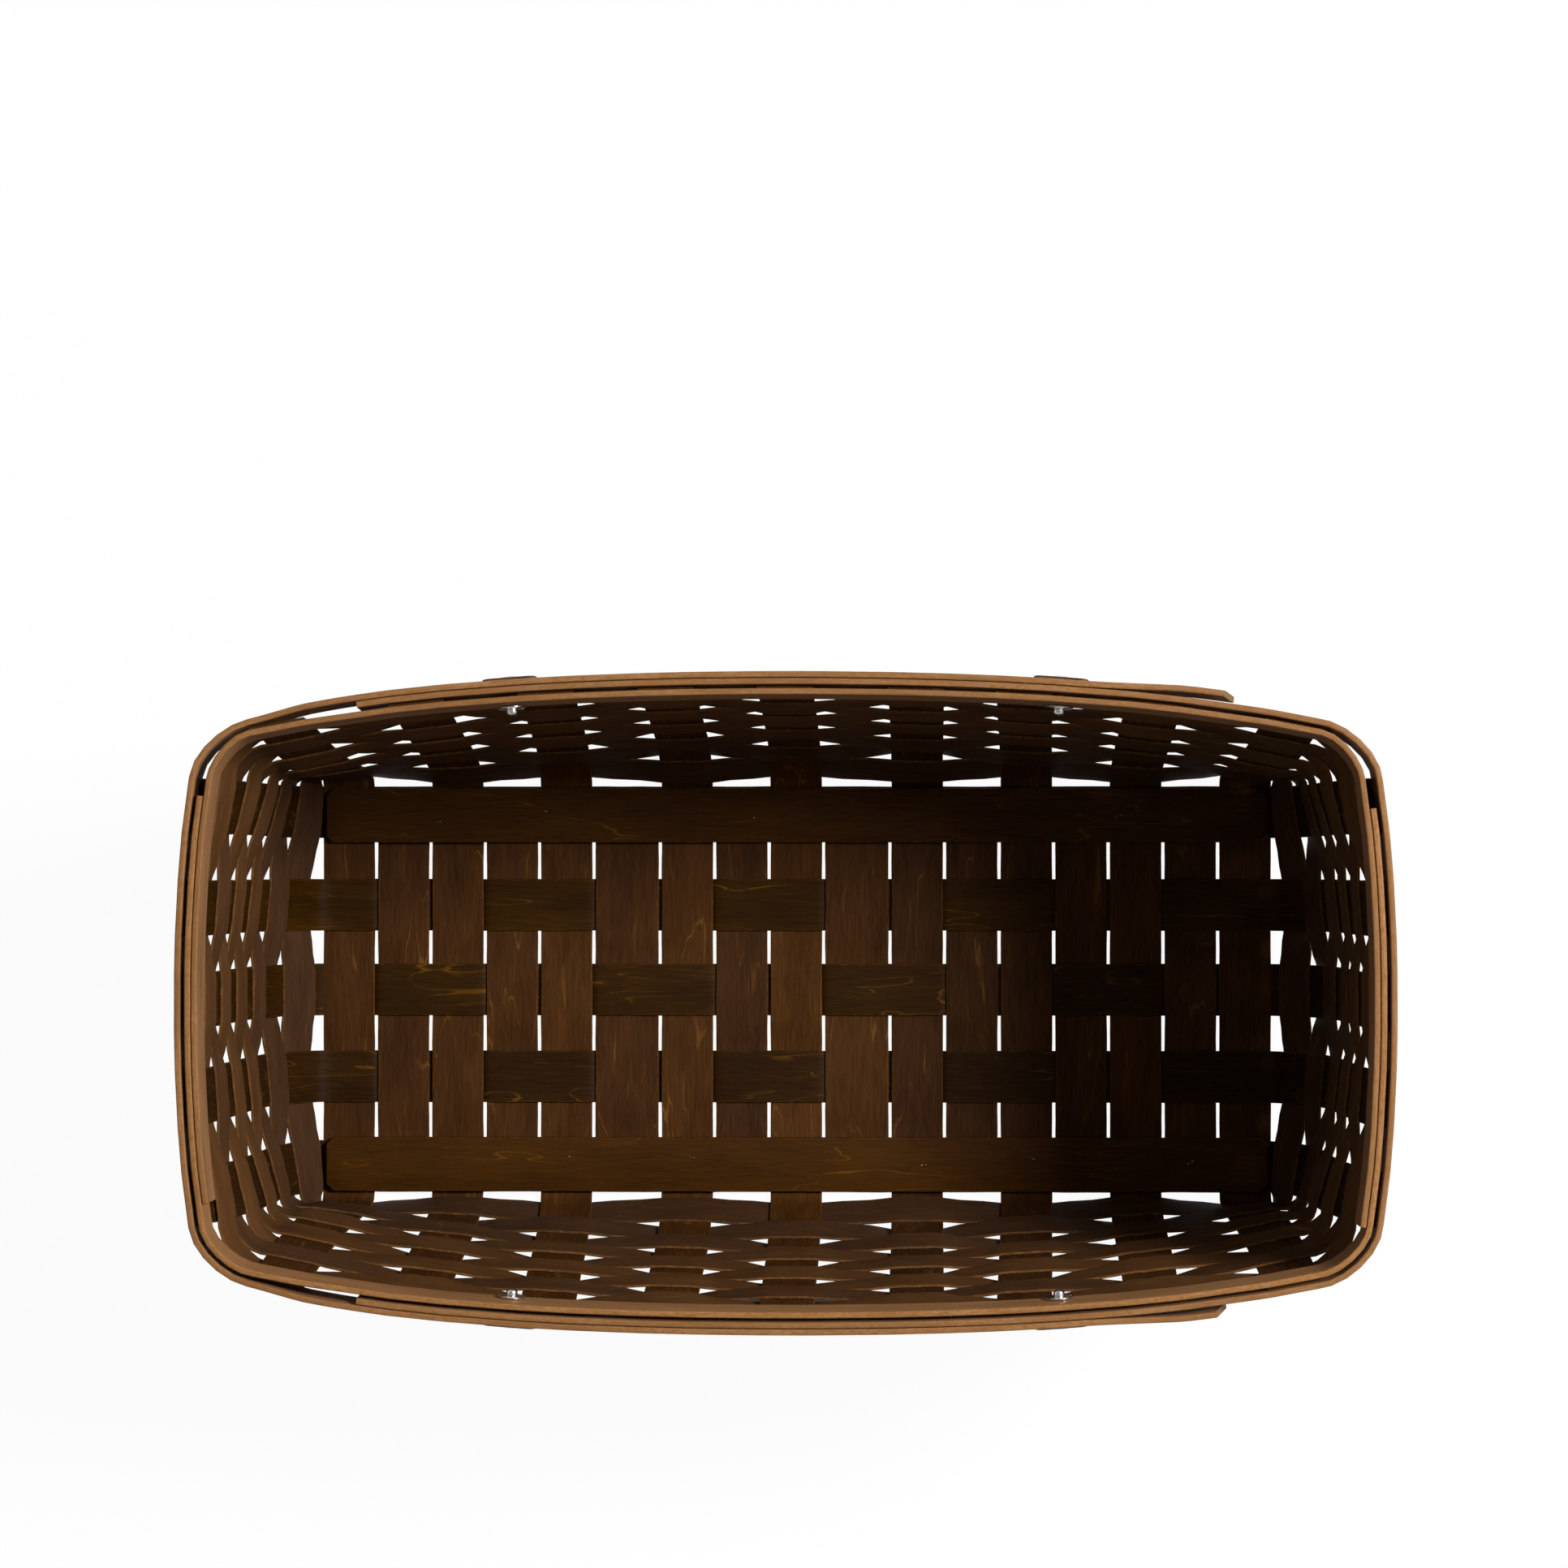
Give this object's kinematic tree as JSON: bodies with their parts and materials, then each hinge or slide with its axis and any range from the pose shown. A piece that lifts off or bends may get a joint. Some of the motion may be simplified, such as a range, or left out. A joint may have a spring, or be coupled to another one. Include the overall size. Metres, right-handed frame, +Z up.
{
  "type": "tote basket",
  "caption": "Rectangular basket woven from flat wood splints, with a doubled rim and riveted leather handles that hang outside its long walls.",
  "frame": {"origin": "under the middle of the base, on the surface that the basket stands on", "axes": "+X along the basket towards its right end, +Y towards its back, +Z up"},
  "size_m": [0.5492, 0.2982, 0.2503],
  "materials": {
    "splint": "dark stained splint, satin",
    "batten": "dark stained wood with a straight grain",
    "rim": "mid brown stained wood, lighter on its edges",
    "metal": "dull silver",
    "strap": "dark brown leather"
  },
  "bodies": {
    "basket": {"cross_stake_01": "splint", "cross_stake_03": "splint", "cross_stake_05": "splint", "cross_stake_07": "splint", "cross_stake_09": "splint", "cross_stake_11": "splint", "cross_stake_13": "splint", "cross_stake_15": "splint", "cross_stake_17": "splint", "base_filler_02": "splint", "base_filler_04": "splint", "base_filler_06": "splint", "base_filler_08": "splint", "base_filler_10": "splint", "base_filler_12": "splint", "base_filler_14": "splint", "base_filler_16": "splint", "long_stake_1": "splint", "long_stake_2": "splint", "long_stake_3": "splint", "long_stake_4": "splint", "long_stake_5": "splint", "base_batten_back": "batten", "base_batten_front": "batten", "weaver_1": "splint", "weaver_2": "splint", "weaver_3": "splint", "weaver_4": "splint", "weaver_5": "splint", "weaver_6": "splint", "weaver_7": "splint", "weaver_8": "splint", "weaver_9": "splint", "outer_rim_right": "rim", "outer_rim_left": "rim", "inner_rim_front": "rim", "inner_rim_back": "rim", "rivet_front_left": "metal", "rivet_front_right": "metal", "rivet_back_left": "metal", "rivet_back_right": "metal", "washer_front_left": "metal", "washer_front_right": "metal", "washer_back_left": "metal", "washer_back_right": "metal", "handle_tab_front_left": "strap", "handle_tab_front_right": "strap", "handle_tab_back_left": "strap", "handle_tab_back_right": "strap"},
    "front_handle": {"handle_strap_front": "strap"},
    "back_handle": {"handle_strap_back": "strap"}
  },
  "joints": [
    {"name": "front_handle_swing", "type": "hinge", "parent": "basket", "child": "front_handle", "pos_m": [0, -0.1469, 0.2152], "axis": [-1, 0, 0], "range_deg": [0, 165]},
    {"name": "back_handle_swing", "type": "hinge", "parent": "basket", "child": "back_handle", "pos_m": [0, 0.1469, 0.2152], "axis": [1, 0, 0], "range_deg": [0, 165]}
  ]
}
